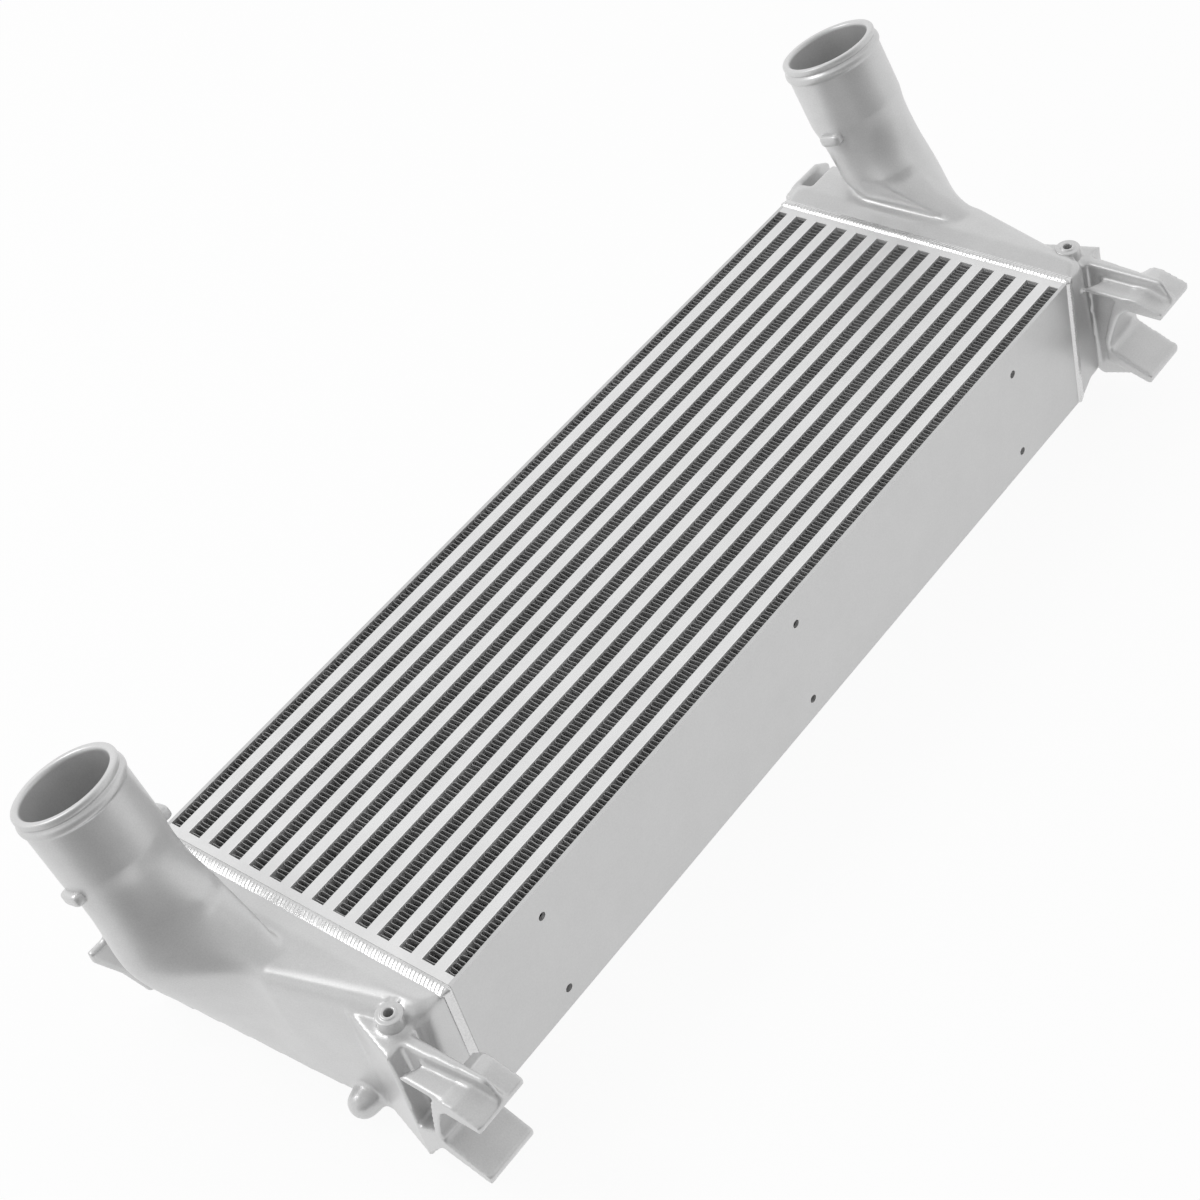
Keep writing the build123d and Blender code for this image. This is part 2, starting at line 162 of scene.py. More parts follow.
def outward(obj):
    """Turn every face of a closed mesh outwards, so that light and shade fall on the right side."""
    work = bmesh.new()
    work.from_mesh(obj.data)
    bmesh.ops.recalc_face_normals(work, faces=work.faces)
    work.to_mesh(obj.data)
    work.free()


def tell(pieces):
    """Print the triangles of pieces: a face of n corners counts as n - 2."""
    for piece in pieces:
        print(piece.name, len(piece.data.loops) - 2 * len(piece.data.polygons), "triangles")


print("mesh helpers: a grid of 3 by 4 points has", len(grid_faces(3, 4)), "quads")

# %% [markdown]
# ## The spigots' place
#
# A spigot is the round tube that the hose slides onto. Both lean to the same side, away from the
# upright. Everything on them is easier to describe in the spigot's own directions than in X, Y and
# Z: across it, along the core, and up its axis, counted from the centre of its mouth.

# %% Directions of a spigot
SPIGOT_LEAN = math.radians(18.9)
SPIGOT_OUT = 50.8
MOUTH_X = 23.1 - CORE_HALF
MOUTH_UP = CORE_DEPTH + 98.1
TUBE_RADIUS = 30.4
BORE_RADIUS = 26.0


def spigot_frame(side):
    """Mouth of a spigot and the three directions of its tube, the last one pointing out of it."""
    mouth = np.array([MOUTH_X, side * (FIN_HALF + SPIGOT_OUT), MOUTH_UP])
    axis = np.array([-math.sin(SPIGOT_LEAN), 0.0, math.cos(SPIGOT_LEAN)])
    across = np.array([math.cos(SPIGOT_LEAN), 0.0, math.sin(SPIGOT_LEAN)])
    return mouth, across, np.array([0.0, 1.0, 0.0]), axis


def place_on_spigot(local, side):
    """Points given as (across, along, up) from a mouth: mouth + u across + v along + h axis."""
    mouth, across, along, axis = spigot_frame(side)
    return mouth + local @ np.array([across, along, axis])


for side_name, side_sign in SIDES.items():
    print(side_name, "mouth at", spigot_frame(side_sign)[0].round(1), "mm")

# %% [markdown]
# ## Cast end tanks: a soft skin over the CAD
#
# The tanks are sand castings. Their pattern has to leave the sand, so no edge is sharp, and every
# foot blends into what it stands on. Bevels could round the edges one by one, but they break where
# many faces meet. Here a copy of the CAD's surface is rebuilt from small voxels, which makes one
# even mesh of it, and then the points are smoothed. A CAD mesh is loose triangles, so the copy's
# double points are merged first.

# %% Rebuild a copy from voxels
VOXEL = 1.36
MERGE_DISTANCE = 1e-5


def merged_copy(node, name):
    """New object with the surface of a CAD node, its double points merged."""
    mesh = nodes[node].data.copy()
    obj = bpy.data.objects.new(name, mesh)
    bpy.context.collection.objects.link(obj)
    work = bmesh.new()
    work.from_mesh(mesh)
    bmesh.ops.remove_doubles(work, verts=work.verts, dist=MERGE_DISTANCE)
    work.to_mesh(mesh)
    work.free()
    return obj


def voxel_remesh(obj):
    """Rebuild a closed mesh from cubes of the voxel's size and keep the result."""
    modifier = obj.modifiers.new("remesh", "REMESH")
    modifier.mode = "VOXEL"
    modifier.voxel_size = VOXEL * MM
    evaluated = obj.evaluated_get(bpy.context.evaluated_depsgraph_get())
    mesh = bpy.data.meshes.new_from_object(evaluated)
    obj.modifiers.clear()
    obj.data = mesh


castings = {}
for side_name in SIDES:
    castings[side_name] = merged_copy(side_name + "_end_tank", side_name + "_tank_casting")
    voxel_remesh(castings[side_name])
tell(castings.values())

# %% [markdown]
# ## Cast end tanks: two ways of smoothing
#
# The voxels leave tiny steps. Averaging a point with its neighbours removes them, but it also
# shrinks the shape. The first way here averages and then pushes back a little more, so that the
# size stays. It is right for small steps. A whole region that should flow, such as the elbow under
# the spigot, needs hundreds of rounds. There the second way measures the shrinkage and gives it
# back at the end.

# %% Small steps: pull in, push back
SMOOTH_PULL = 0.55
SMOOTH_PUSH = -0.57


def read_points(mesh):
    """Vertices of a mesh in millimetres."""
    points = np.empty(len(mesh.vertices) * 3)
    mesh.vertices.foreach_get("co", points)
    return points.reshape(-1, 3) / MM


def read_edges(mesh):
    """Edges of a mesh as pairs of vertex numbers."""
    edges = np.empty(len(mesh.edges) * 2, dtype=np.int64)
    mesh.edges.foreach_get("vertices", edges)
    return edges.reshape(-1, 2)


def relax(points, edges, strength, rounds):
    """Each round does p <- p + w s (mean - p) twice, first with w = 0.55 and then w = -0.57.

    mean is the mean of a point's neighbours, and s is the strength at that point.
    """
    count = len(points)
    a, b = edges[:, 0], edges[:, 1]
    degree = np.bincount(a, minlength=count) + np.bincount(b, minlength=count)
    for _ in range(rounds):
        for weight in (SMOOTH_PULL, SMOOTH_PUSH):
            total = np.empty_like(points)
            for axis in range(3):
                total[:, axis] = np.bincount(a, points[b, axis], count)
                total[:, axis] += np.bincount(b, points[a, axis], count)
            mean = total / degree[:, None]
            points = points + weight * strength[:, None] * (mean - points)
    return points


print("castings have", {name: len(obj.data.edges) for name, obj in castings.items()}, "edges")

# %% Broad regions: melting
def melt(points, edges, strength, rounds):
    """Broad smoothing of the points that have a strength s, without thinning the shape.

    Rounds of p <- p + s (mean - p) / 2 move the points by d. The same rounds smooth d, and what is
    left of it is given back: p = smooth - smoothed d.
    """
    touched = (strength[edges[:, 0]] > 0) | (strength[edges[:, 1]] > 0)
    inside, ends = np.unique(edges[touched], return_inverse=True)
    a, b = ends.reshape(-1, 2).T
    count = len(inside)
    degree = np.bincount(a, minlength=count) + np.bincount(b, minlength=count)
    pull = 0.5 * strength[inside]

    def settle(values):
        values = values.T.copy()
        for _ in range(rounds):
            for row in values:
                mean = (np.bincount(a, row[b], count) + np.bincount(b, row[a], count)) / degree
                row += pull * (mean - row)
        return values.T

    before = points[inside]
    smooth = settle(before)
    points = points.copy()
    points[inside] = smooth - settle(smooth - before)
    return points


def fade(value, start, end):
    """0 at start and 1 at end, 3 t^2 - 2 t^3 between them, and held outside them."""
    share = np.clip((value - start) / (end - start), 0.0, 1.0)
    return share * share * (3 - 2 * share)


print("a fade from 0 to 10 is", fade(np.array([0.0, 2.5, 5.0, 10.0]), 0, 10).round(2), "at 0, 2.5, 5 and 10")

# %% [markdown]
# ## Cast end tanks: where to smooth
#
# The photographed casting is soft in some places and crisp in others. The face under the elbow and
# the neck flow, the ridge and the lower hem are straight and clean, and the round nub has a soft
# root. A sculptor would go over these with a brush. A script can do the same with regions: each is
# a product of fades along simple distances, so its border is soft too.

# %% Regions of the casting
NUB_X = CORE_HALF - 52.0
NUB_UP = 11.0

# Each fade is a distance, where the region has no strength, and where it has all of it, in mm.
# "drop" is down the spigot's axis from its mouth, "out" is outwards from the end of the fins, and
# "nub" is the distance from the round nub's axis.
ELBOW_FACE = (("drop", 46, 60), ("x", 18, -20), ("x", -96, -84), ("out", 40, 56), ("z", 8, 22))
NECK = (("drop", 42, 52), ("drop", 84, 70), ("z", 104, 112))
RIDGE = (("z", 78, 86), ("x", CORE_HALF - 24, CORE_HALF - 34), ("out", 14, 20))
HEM = (("z", 12, 5), ("out", 20, 30), ("nub", 10, 16))
NUB_ROOT = (("nub", 16, 12), ("out", 44, 50))


def distances(points, side):
    """The distances that the regions are given in, for every point."""
    mouth, _, _, axis = spigot_frame(side)
    return {
        "x": points[:, 0],
        "z": points[:, 2],
        "drop": -(points - mouth) @ axis,
        "out": side * points[:, 1] - FIN_HALF,
        "nub": np.hypot(points[:, 0] - NUB_X, points[:, 2] - NUB_UP),
    }


def region(places, fades):
    """Strength of a region: the product of its fades."""
    return np.prod([fade(places[key], none, full) for key, none, full in fades], axis=0)


for side_name, side_sign in SIDES.items():
    places = distances(read_points(castings[side_name].data), side_sign)
    print(side_name, "elbow face covers", int((region(places, ELBOW_FACE) > 0).sum()), "points")

# %% [markdown]
# ## Cast end tanks: room for the machined ends
#
# On the real tank the spigot's end and the boss's top are cut on a lathe after casting, so they are
# exact circles. Voxels can't hold that. The upper half of each spigot is therefore drawn onto the
# exact cylinder, and where a turned piece will cover it, a little inside it.

# %% Draw the casting under the turned ends
TURNED_LENGTH = 24.0
NECK_LENGTH = 55.0
# How deep the casting is tucked, over what length that fades in, how far outside the tube's wall
# a point still counts as the tube's, and how far below the mouth the casting ends.
TUCK = 1.2
TUCK_FADE = 3.0
TUBE_REACH = 4.0
MOUTH_CUT = 2.0

BOSS_X = CORE_HALF - 15.7
BOSS_OUT = 34.0
BOSS_TOP = CORE_DEPTH + 2.5
BOSS_RADIUS = 7.5
BOSS_HOLE = 2.5
BOSS_TURNED = 11.0
BOSS_REACH = 1.0
BOSS_OVERLAP = 2.0
BOSS_CUT = 1.5
SMALLEST = 1e-6


def tuck_spigot(points, side):
    """Draw the spigot onto its cylinder, with its end inside the turned piece.

    A point at radius r moves to r + f (R - r). R is the wall's radius there, less the tuck, and f
    fades in from the neck's length to half of it below the mouth.
    """
    mouth, across, along, axis = spigot_frame(side)
    local = points - mouth
    u, v, height = local @ across, local @ along, local @ axis
    radius = np.hypot(u, v)
    on_tube = (height > -NECK_LENGTH) & (radius < TUBE_RADIUS + TUBE_REACH)
    outer = on_tube & (radius > (TUBE_RADIUS + BORE_RADIUS) / 2)
    inner = on_tube & ~outer
    tuck = TUCK * fade(height, -TURNED_LENGTH / 2, TUCK_FADE - TURNED_LENGTH / 2)
    wanted = radius.copy()
    wanted[outer] = TUBE_RADIUS - tuck[outer]
    wanted[inner] = BORE_RADIUS + tuck[inner]
    exact = fade(height, -NECK_LENGTH, -NECK_LENGTH / 2)
    scale = 1 + exact * (wanted / np.maximum(radius, SMALLEST) - 1)
    height = np.minimum(height, -MOUTH_CUT)
    moved = place_on_spigot(np.column_stack([u * scale, v * scale, height]), side)
    return np.where(on_tube[:, None], moved, points)


def tuck_boss(points, side):
    """Draw the top of the screw boss inside its turned piece: its wall in, and its hole out."""
    centre = np.array([BOSS_X, side * (FIN_HALF + BOSS_OUT)])
    flat = points[:, :2] - centre
    radius = np.hypot(flat[:, 0], flat[:, 1])
    near = (radius < BOSS_RADIUS + BOSS_REACH) & (points[:, 2] > BOSS_TOP - BOSS_TURNED + BOSS_OVERLAP)
    on_wall = radius > (BOSS_RADIUS + BOSS_HOLE) / 2
    wanted = np.where(on_wall, BOSS_RADIUS - TUCK, BOSS_HOLE + TUCK)
    scale = np.where(near, wanted / np.maximum(radius, SMALLEST), 1.0)
    top = np.where(near, np.minimum(points[:, 2], BOSS_TOP - BOSS_CUT), points[:, 2])
    return np.column_stack([centre + flat * scale[:, None], top])


print(f"turned ends cover {TURNED_LENGTH:.0f} mm of a spigot and {BOSS_TURNED:.0f} mm of a boss")

# %% Smooth both castings
FIRST_ROUNDS = 6
CREST_STRENGTH = 0.6
CREST_ROUNDS = 40
ELBOW_ROUNDS = 800
NUB_ROUNDS = 16


def smooth_tank(obj, name, side):
    """Smooth a casting region by region, then tuck it under the turned ends."""
    points, edges = read_points(obj.data), read_edges(obj.data)
    points = relax(points, edges, np.ones(len(points)), FIRST_ROUNDS)
    places = distances(points, side)
    crest = np.maximum(region(places, RIDGE), region(places, HEM))
    flow = np.maximum(region(places, ELBOW_FACE), region(places, NECK))
    nub_root = region(places, NUB_ROOT)
    points = relax(points, edges, CREST_STRENGTH * crest, CREST_ROUNDS)
    points = melt(points, edges, flow, ELBOW_ROUNDS)
    points = melt(points, edges, nub_root, NUB_ROUNDS)
    points = tuck_boss(tuck_spigot(points, side), side)
    obj.data.vertices.foreach_set("co", (points * MM).ravel())
    obj.data.update()
    obj.data.shade_smooth()
    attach(obj, "root")
    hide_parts(name + "_end_tank")


for side_name, side_sign in SIDES.items():
    smooth_tank(castings[side_name], side_name, side_sign)
    height = read_points(castings[side_name].data)[:, 2].max()
    print(f"{side_name} casting smoothed, {height:.1f} mm high under its turned end")

# %% [markdown]
# ## Turned end of the spigot
#
# A hose slides over the lip and the bead, and its clamp sits behind the bead. A lathe tool makes
# this shape, and the script works as the lathe does: a closed profile of radius and height is
# turned about the axis. The tool has a round nose, so every corner of the profile is rounded.

# %% Rounded profile, turned
CORNER_SHARE = 0.45


def rounded(outline, radius, steps=4):
    """Closed outline with each corner c cut by a quadratic curve from s to e.

    The curve is (1-t)^2 s + 2 t (1-t) c + t^2 e. It starts and ends a radius from the corner, or
    0.45 of the side's length where the side is short.
    """
    corner = np.asarray(outline, float)
    ends = []
    for step in (1, -1):
        arm = np.roll(corner, step, axis=0) - corner
        cut = np.minimum(CORNER_SHARE, radius / np.linalg.norm(arm, axis=1))
        ends.append((corner + arm * cut[:, None])[:, None])
    t = np.linspace(0, 1, steps + 1)[None, :, None]
    curve = (1 - t) ** 2 * ends[0] + 2 * t * (1 - t) * corner[:, None] + t * t * ends[1]
    return curve.reshape(-1, 2)


def lathe(profile, steps):
    """Points and faces of a closed profile turned about Z.

    A profile point (r, z) becomes (r cos a, r sin a, z) for a = 2 pi k / steps.
    """
    angle = np.arange(steps) * math.tau / steps
    x = np.outer(np.cos(angle), profile[:, 0])
    y = np.outer(np.sin(angle), profile[:, 0])
    z = np.tile(profile[:, 1], (steps, 1))
    points = np.stack([x, y, z], axis=2).reshape(-1, 3)
    return points, grid_faces(steps, len(profile), wrap_rows=True, wrap_columns=True)


print("a square with rounded corners has", len(rounded([(0, 0), (1, 0), (1, 1), (0, 1)], 0.1)), "points")

# %% Both spigot ends
LIP = TUBE_RADIUS + 0.35
CROWN = TUBE_RADIUS + 1.25
GROOVE = TUBE_RADIUS - 0.5
LIP_FOOT = -3.2
GROOVE_TOP, GROOVE_FOOT = -4.0, -4.6
CROWN_TOP, CROWN_FOOT = -6.0, -9.0
BEAD_FOOT = -10.2
MOUTH_BEVEL, MOUTH_BEVEL_DEEP = 1.0, 1.6
# How far a turned piece stands over the casting that it covers, and how far its root draws in.
SKIN = 0.02
ROOT = 0.15
SPIGOT_ROUNDING = 1.3
SPIGOT_STEPS = 128


def spigot_end(name, side):
    """Turned end of a spigot, a hair proud of the casting, with its root sunk into it."""
    outer, bore, foot = TUBE_RADIUS + SKIN, BORE_RADIUS - SKIN, -TURNED_LENGTH / 2
    outline = [
        (bore + ROOT, -TURNED_LENGTH), (outer - ROOT, -TURNED_LENGTH), (outer, foot),
        (outer, BEAD_FOOT), (CROWN, CROWN_FOOT), (CROWN, CROWN_TOP),
        (GROOVE, GROOVE_FOOT), (GROOVE, GROOVE_TOP), (LIP, LIP_FOOT), (LIP, 0.0),
        (bore + MOUTH_BEVEL, 0.0), (bore, -MOUTH_BEVEL_DEEP), (bore, foot),
    ]
    points, faces = lathe(rounded(outline, SPIGOT_ROUNDING), SPIGOT_STEPS)
    obj = new_object(name + "_spigot_end", place_on_spigot(points, side), faces)
    outward(obj)
    return obj


turned = [spigot_end(side_name, side_sign) for side_name, side_sign in SIDES.items()]
tell(turned)

# %% [markdown]
# ## Top of the screw boss
#
# A screw boss is a short pillar with a threaded blind hole, and a raised collar that the bracket
# sits on. It is machined like the spigot, so it is turned the same way. The hole goes on into the
# casting below it.

# %% Both boss tops
COLLAR = 4.6
COLLAR_RISE = 0.8
COLLAR_BEVEL = 0.3
BOSS_ROUNDING = 0.9
BOSS_STEPS = 64


def boss_end(name, side):
    """Turned top of a screw boss: wall, flat top, collar and the wall of the hole."""
    wall = BOSS_RADIUS + SKIN
    outline = [
        (wall, -BOSS_TURNED), (wall, 0.0), (COLLAR, 0.0), (COLLAR - COLLAR_BEVEL, COLLAR_RISE),
        (BOSS_HOLE + COLLAR_BEVEL, COLLAR_RISE), (BOSS_HOLE, 0.0), (BOSS_HOLE, 1 - BOSS_TURNED),
    ]
    points, faces = lathe(rounded(outline, BOSS_ROUNDING), BOSS_STEPS)
    points = points + np.array([BOSS_X, side * (FIN_HALF + BOSS_OUT), BOSS_TOP])
    obj = new_object(name + "_boss_end", points, faces)
    outward(obj)
    return obj


bosses = [boss_end(side_name, side_sign) for side_name, side_sign in SIDES.items()]
turned += bosses
tell(bosses)

# %% [markdown]
# ## Hose stops
#
# Two cast lumps on each spigot stop the hose. Each is a block with very soft corners. A cube with a
# wide bevel would do, but its flats would show. A superellipsoid is round everywhere and still
# looks like a block: it is a sphere whose directions are raised to a power below one.

# %% Four hose stops
PEG_DROP = 49.0
PEG_HALF = (8.0, 5.0, 3.9)
PEG_SINK = 1.0
PEG_AROUND = 40
PEG_RINGS = 21
PEG_POLE = 86


def squared(value):
    """Sign of a value times the square root of its size."""
    return np.sign(value) * np.sqrt(np.abs(value))


def hose_peg(name, side, way):
    """Superellipsoid: each part d of a sphere's direction becomes sign(d) |d|^0.5 times its half size.

    The poles are left out and closed with flat faces.
    """
    around = np.arange(PEG_AROUND) * math.tau / PEG_AROUND
    up = np.radians(np.linspace(-PEG_POLE, PEG_POLE, PEG_RINGS))
    x = np.outer(squared(np.cos(up)), squared(np.cos(around))) * PEG_HALF[0]
    y = np.outer(squared(np.cos(up)), squared(np.sin(around))) * PEG_HALF[1]
    z = np.outer(squared(np.sin(up)), np.ones(PEG_AROUND)) * PEG_HALF[2]
    local = np.stack([x, y + way * (TUBE_RADIUS - PEG_SINK), z - PEG_DROP], axis=2).reshape(-1, 3)
    faces = grid_faces(PEG_RINGS, PEG_AROUND, wrap_columns=True).tolist()
    last = (PEG_RINGS - 1) * PEG_AROUND
    faces += [list(range(PEG_AROUND)), list(range(last, last + PEG_AROUND))]
    peg_name = name + ("_hose_peg_b" if way > 0 else "_hose_peg_a")
    obj = new_object(peg_name, place_on_spigot(local, side), faces)
    outward(obj)
    return obj


pegs = [hose_peg(name, sign, way) for name, sign in SIDES.items() for way in (-1, 1)]
turned += pegs
tell(pegs)

# %% [markdown]
# ## Weld: the path
#
# A hand-laid weld joins each tank to the core all the way round. It follows the rim of the core, a
# rectangle with small round corners. A curve object with a bevel could follow that too, but the
# ripples need the length run so far at every point, so the path is sampled at even steps.

# %% Path round the rim
RIM_RADIUS = 1.0
RIM_STEPS = 5
WELD_SPACING = 0.3


def rim_path():
    """Points round the rim, the outward direction at each, the length so far, and the whole length.

    A corner is a quarter circle, c + r (cos a, sin a), and its direction outwards is (cos a, sin a).
    """
    corners = np.array([
        (CORE_HALF, CORE_DEPTH), (-CORE_HALF, CORE_DEPTH), (-CORE_HALF, 0.0), (CORE_HALF, 0.0),
    ])
    centres = corners - np.copysign(RIM_RADIUS, corners - np.array([0.0, CORE_DEPTH / 2]))
    quarter = math.pi / 2
    angle = quarter * (np.arange(4)[:, None] + np.linspace(0, 1, RIM_STEPS)[None, :])
    ways = np.stack([np.cos(angle), np.sin(angle)], axis=2)
    places = (centres[:, None] + RIM_RADIUS * ways).reshape(-1, 2)
    places = np.vstack([places, places[:1]])
    ways = ways.reshape(-1, 2)
    ways = np.vstack([ways, ways[:1]])
    lengths = np.concatenate([[0], np.cumsum(np.linalg.norm(np.diff(places, axis=0), axis=1))])
    along = np.arange(0, lengths[-1], WELD_SPACING)
    place = np.column_stack([np.interp(along, lengths, places[:, k]) for k in (0, 1)])
    way = np.column_stack([np.interp(along, lengths, ways[:, k]) for k in (0, 1)])
    return place, way / np.linalg.norm(way, axis=1)[:, None], along, lengths[-1]


rim = rim_path()
print(f"the rim is {rim[3]:.0f} mm long, in {len(rim[0])} steps")

# %% [markdown]
# ## Weld: the bead
#
# The welder's rod freezes drop by drop, and each drop overlaps the last one as a crescent. A noise
# texture would give lumps without order. Here the height of the bead is a formula: a smooth hump
# across it, times a saw tooth along it. The tooth's edge is bent by the place across the bead,
# which makes the crescents. Two slow waves keep the bead from being perfectly even.

# %% Both weld beads
BEAD_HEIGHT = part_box("far_weld_bead")[1][2] / MM - CORE_DEPTH
BEAD_RINGS = 15
RIPPLE_PITCH = 2.4
RIPPLE_DEPTH = 0.3
RIPPLE_BEND = 0.7
CREST_AT = 0.3
BEAD_FALL = 0.9
BEAD_FILL = 0.92
BEAD_WIDTH = 6.2
FRONT_EXTRA = 1.4
FRONT_FADE = (0.5, 0.95)
SLOW_WAVES = ((0.06, 31, 0), (0.05, 73, 1))
WIDTH_SWELL = 0.03
# How far the bead laps over the core's end.
LAP = 0.15
# The bead is closed under the surface by two rings: a share of its width, and how deep they lie.
BURIED = ((1, 3.0), (0.03, 1.5))


def weld(name, side):
    """Rippled bead that rises at the core and slopes down towards the tank.

    With t from 0 to 1 across the bead, its height eases up to 1 at t = 0.3 and falls from there as
    1 - 0.9 (t - 0.3) / 0.7. It is cut by d q, where q = (n + c t^2) mod 1 is the place inside a
    ripple, n counts the ripples passed and c bends them into crescents.
    """
    place, way, along, total = rim
    width = BEAD_WIDTH + FRONT_EXTRA * fade(way[:, 1], *FRONT_FADE)
    swell = 1 + sum(a * np.sin(along * math.tau / total * n + start) for a, n, start in SLOW_WAVES)
    t = np.linspace(0, 1, BEAD_RINGS)[None, :]
    fall = 1 - BEAD_FALL * np.maximum(t - CREST_AT, 0) / (1 - CREST_AT)
    ripple = RIPPLE_DEPTH * ((along[:, None] / RIPPLE_PITCH + RIPPLE_BEND * t * t) % 1.0)
    bead = BEAD_FILL * fade(t, 0.0, CREST_AT) * fall * (1 - ripple) * swell[:, None]
    up = BEAD_HEIGHT * np.minimum(bead, 1) + SKIN
    out = JOINT - LAP + width[:, None] * t * (1 - WIDTH_SWELL + WIDTH_SWELL * swell[:, None])
    share, sink = np.array(BURIED).T
    up = np.hstack([up, np.tile(-sink, (len(place), 1))])
    out = np.hstack([out, JOINT + width[:, None] * share])
    ring = place[:, None] + way[:, None] * up[:, :, None]
    points = np.stack([ring[:, :, 0], side * out, ring[:, :, 1]], axis=2).reshape(-1, 3)
    faces = grid_faces(len(place), up.shape[1], wrap_rows=True, wrap_columns=True)
    obj = new_object(name + "_weld_ripples", points, faces)
    outward(obj)
    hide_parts(name + "_weld_bead")
    return obj


welds = [weld(side_name, side_sign) for side_name, side_sign in SIDES.items()]
tell(welds)

# %% [markdown]
# ## Cooling fins
#
# Each row between two tubes is one strip of thin sheet, folded to and fro into 204 legs. An Array
# modifier could repeat one fold, but the real legs stand a little unevenly, and that is what keeps
# the photographed rows from looking printed. So the strip's middle line is worked out fold by fold
# with small random shifts, and a sheet of even thickness is laid round it.

# %% Middle line of a folded strip
LEGS = 204
SHEET = 0.26
LEG_SHIFT = 0.16
LEG_LEAN = 0.12
LEG_BOW = 0.06
FOLD_ANGLES = np.radians([-50, 0, 50])
rng = np.random.default_rng(7)


def fold_line(width):
    """Middle line of the folded sheet seen from the front, as x and y from the row's middle.

    Leg i lies at y = (i + 1/2) p, p being the pitch, with small random shifts, and runs across the
    row in three points. Half circles join the legs at alternate sides, in three points each.
    """
    pitch = 2 * FIN_HALF / LEGS
    reach = (width - SHEET) / 2 - pitch / 2
    places = -FIN_HALF + pitch * (np.arange(LEGS) + 0.5) + rng.normal(0, LEG_SHIFT, LEGS)
    lean = rng.normal(0, LEG_LEAN, LEGS)
    bow = rng.normal(0, LEG_BOW, LEGS)
    way = np.where(np.arange(LEGS) % 2 == 0, 1.0, -1.0)
    after = np.append(places[1:], places[-1])
    gap, middle = (after - places) / 2, (after + places) / 2
    x = np.column_stack([
        -way * reach, np.zeros(LEGS), way * reach,
        way[:, None] * (reach + pitch / 2 * np.cos(FOLD_ANGLES)),
    ])
    y = np.column_stack([
        places - lean, places + bow, places + lean,
        middle[:, None] + gap[:, None] * np.sin(FOLD_ANGLES),
    ])
    line = np.stack([x, y], axis=2).reshape(-1, 2)
    return line[:-len(FOLD_ANGLES)]


print(f"one leg every {2 * FIN_HALF / LEGS:.2f} mm")

# %% Fourteen rows of fins
def sheet_prism(line, low, high):
    """Closed sheet round a line, as rings of four points, with both ends closed.

    A ring is p + n s/2 and p - n s/2 at two heights, with n across the line and s the thickness.
    """
    step = np.gradient(line, axis=0)
    normal = np.stack([-step[:, 1], step[:, 0]], axis=1)
    normal /= np.linalg.norm(normal, axis=1)[:, None]
    left, right = line + normal * SHEET / 2, line - normal * SHEET / 2
    corners = ((left, low), (left, high), (right, high), (right, low))
    rings = [np.column_stack([edge, np.full(len(line), height)]) for edge, height in corners]
    points = np.stack(rings, axis=1).reshape(-1, 3)
    faces = grid_faces(len(line), 4, wrap_columns=True).tolist()
    last = 4 * (len(line) - 1)
    return points, faces + [[0, 1, 2, 3], [last + 3, last + 2, last + 1, last]]


def fin_row(number):
    """One folded fin in place of its CAD node, in that node's box."""
    node = f"cooling_fin_{number:02d}"
    low, high = (np.array(corner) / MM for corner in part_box(node))
    points, faces = sheet_prism(fold_line(high[0] - low[0]), low[2], high[2])
    points[:, 0] += (low[0] + high[0]) / 2
    points[:, 1] = np.clip(points[:, 1], low[1], high[1])
    obj = new_object(f"folded_fin_{number:02d}", points, faces, smooth=False)
    outward(obj)
    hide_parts(node)
    return obj


fins = [fin_row(number) for number in range(1, TUBE_COUNT + 2)]
tell(fins[:1])
print(len(fins), "rows of fins")

# %% [markdown]
# ## Colours and nodes
#
# Colours are chosen as sRGB hex codes, as on a screen, but shaders reckon in linear light, so one
# function turns them over. A second small function adds a node with its settings and links.
# Patterns read Object coordinates, which are metres here, so a pattern stays on its piece.

# %% Helpers for materials
def linear(code):
    """Linear colour of a hex sRGB code: p / 12.92 below 0.04045, else ((p + 0.055) / 1.055)^2.4."""
    parts = [int(code[i:i + 2], 16) / 255 for i in (0, 2, 4)]
    return tuple(p / 12.92 if p <= 0.04045 else ((p + 0.055) / 1.055) ** 2.4 for p in parts) + (1.0,)


def add(tree, kind, settings=None, **inputs):
    """New node. A setting is an attribute, or the stops of a colour ramp as (place, hex code).

    An input takes a value or another node's socket. i0, i1 and so on are inputs by number.
    """
    node = tree.nodes.new(kind)
    for key, value in (settings or {}).items():
        if key == "stops":
            elements = node.color_ramp.elements
            elements[0].position, elements[1].position = value[0][0], value[-1][0]
            elements[0].color, elements[1].color = linear(value[0][1]), linear(value[-1][1])
            for place, code in value[1:-1]:
                elements.new(place).color = linear(code)
        else:
            setattr(node, key, value)
    for key, value in inputs.items():
        place = int(key[1:]) if key[0] == "i" and key[1:].isdigit() else key.replace("_", " ")
        if isinstance(value, bpy.types.NodeSocket):
            tree.links.new(value, node.inputs[place])
        else:
            node.inputs[place].default_value = value
    return node


print("mid grey 808080 is", round(linear("808080")[0], 3), "in linear light")

# %% [markdown]
# ## Silver finishes
#
# Everything is aluminium under a thin silver coat, but each part was made in another way, and that
# decides its grain and gleam. The colour could be one flat grey, and it would look like plastic.
# Three things make it metal: a fine grain in relief that breaks up the gleam, a roughness that
# drifts a little over some centimetres, and a tint that follows both. The coat hides part of the
# metal, so the metallic value lies between paint and bare metal.

# %% One recipe for all of them
CLOUD_SIZE = 30
CLOUD_SHARE = 0.45
GRAIN_SHARE = 0.55
TINT_RANGE = (0.3, 0.7)
GLOSSIER, ROUGHER = 0.05, 0.06
RELIEF_STRENGTH = 0.6


